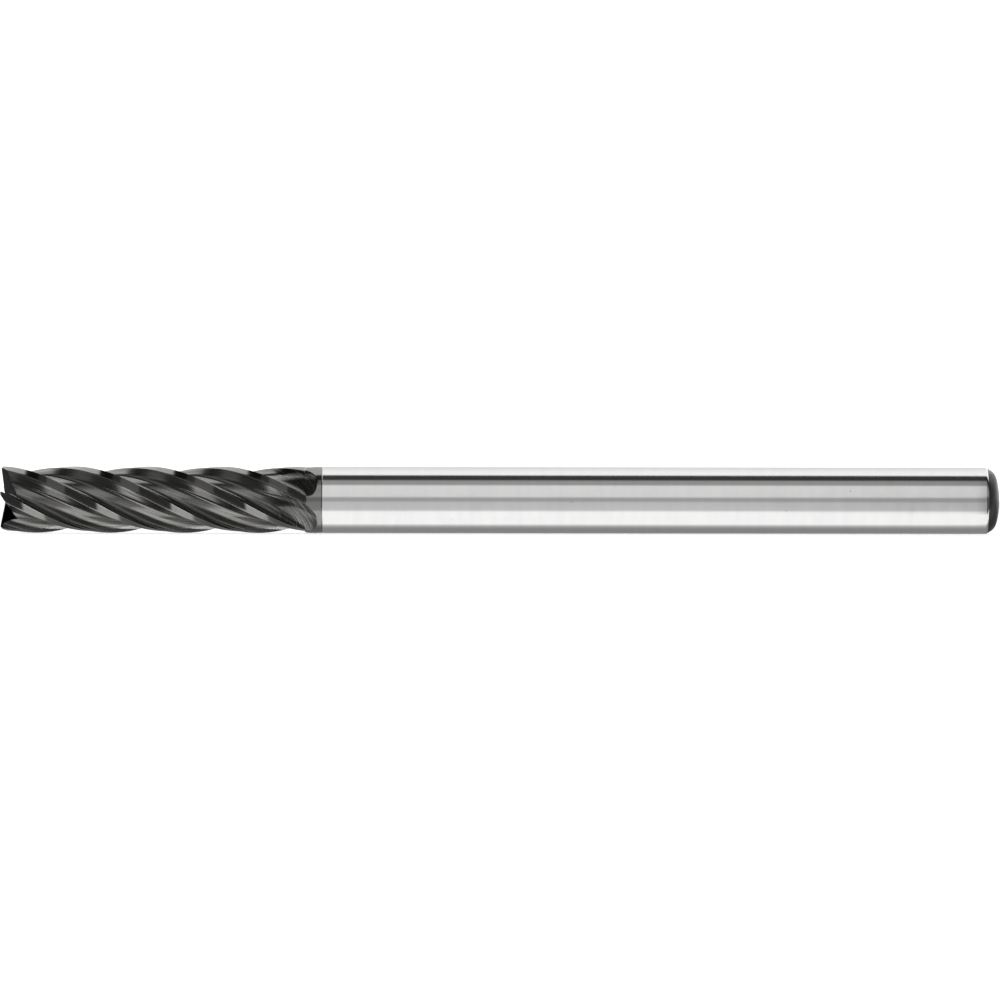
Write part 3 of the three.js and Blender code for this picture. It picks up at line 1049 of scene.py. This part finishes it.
def studio_world():
    """Soft boxes as long strips side by side round the tool, paler and plain off the two ends."""
    n = WorldNodes()
    parts = n.add("ShaderNodeSeparateXYZ")
    n.link(n.add("ShaderNodeTexCoord").outputs["Generated"], parts.inputs["Vector"])
    toward = n.math("MULTIPLY", parts.outputs["Y"], -1.0)
    elevation = n.math("ARCTAN2", parts.outputs["Z"], toward)
    place = n.math("ADD", n.math("DIVIDE", elevation, 2 * math.pi), 0.5)
    off_middle = n.math("ABSOLUTE", parts.outputs["X"])
    window = n.add("ShaderNodeMapRange")
    window.inputs["From Min"].default_value = SIDES_START
    window.inputs["From Max"].default_value = SIDES_FULL
    n.link(off_middle, window.inputs["Value"])
    light = n.mix(window.outputs["Result"], n.strips(place, STUDIO), n.strips(place, STUDIO_SIDES))
    pale = (*[PALE_LIGHT / STUDIO_PEAK] * 3, 1)
    light = n.mix(n.math("POWER", off_middle, PALE_POWER), light, pale)
    background = n.add("ShaderNodeBackground")
    background.inputs["Strength"].default_value = STUDIO_PEAK
    n.link(light, background.inputs["Color"])
    output = n.add("ShaderNodeOutputWorld")
    n.link(background.outputs["Background"], output.inputs["Surface"])


def floor():
    """Plain pale floor that the tool lies on; its cells are small near the tool."""
    n = Nodes("pale_floor")
    n.shader.inputs["Base Color"].default_value = FLOOR_COLOUR
    n.shader.inputs["Roughness"].default_value = FLOOR_ROUGHNESS
    n.shader.inputs["Emission Color"].default_value = (1, 1, 1, 1)
    n.shader.inputs["Emission Strength"].default_value = FLOOR_GLOW
    low = -RADIUS * MM - FLOOR_GAP
    count = len(FLOOR_LINES)
    points = [(x, y, low) for y in FLOOR_LINES for x in FLOOR_LINES]
    faces = []
    for row in range(count - 1):
        for column in range(count - 1):
            a = row * count + column
            faces.append((a, a + 1, a + count + 1, a + count))
    mesh = bpy.data.meshes.new("floor")
    mesh.from_pydata(points, [], faces)
    mesh.materials.append(n.material)
    obj = bpy.data.objects.new("floor", mesh)
    bpy.context.scene.collection.objects.link(obj)
    obj.visible_glossy = False


def camera():
    data = bpy.data.cameras.new("camera")
    data.sensor_width = SENSOR_WIDTH
    data.lens = SENSOR_WIDTH * CAMERA_DISTANCE / VIEW_WIDTH
    data.clip_start = CLIP_START
    data.clip_end = CLIP_END
    obj = bpy.data.objects.new("camera", data)
    bpy.context.scene.collection.objects.link(obj)
    middle = (TIP_X + END_X) / 2 * MM
    obj.location = (middle, -CAMERA_DISTANCE, CAMERA_HEIGHT)
    obj.rotation_euler = (math.pi / 2, CAMERA_ROLL, 0)
    bpy.context.scene.camera = obj


# ---------- the tool ----------


def fit(obj, node):
    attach(obj, "root")
    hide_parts(node)


camera()
studio_world()
floor()
coating = coated_carbide("coated_carbide", **FLUTE_MARKS)
end_coating_painted_shade = coated_carbide("coated_carbide_end_painted_shade", **END_FACE_MARKS)
steel = ground_steel("ground_steel")
braze = silver_braze("silver_braze")
dark_end_material = blackened_steel("blackened_steel")
fit(cutting_head([coating, end_coating_painted_shade]), "cutting_head")
fit(turned_piece("braze_joint_fine", braze_profile(), braze), "braze_joint")
fit(turned_piece("shank_fine", shank_profile(), steel), "shank")
fit(turned_piece("shank_end_fine", shank_end_profile(), dark_end_material), "shank_end")

bpy.context.scene.view_settings.view_transform = "Standard"
bpy.context.scene.view_settings.look = "None"
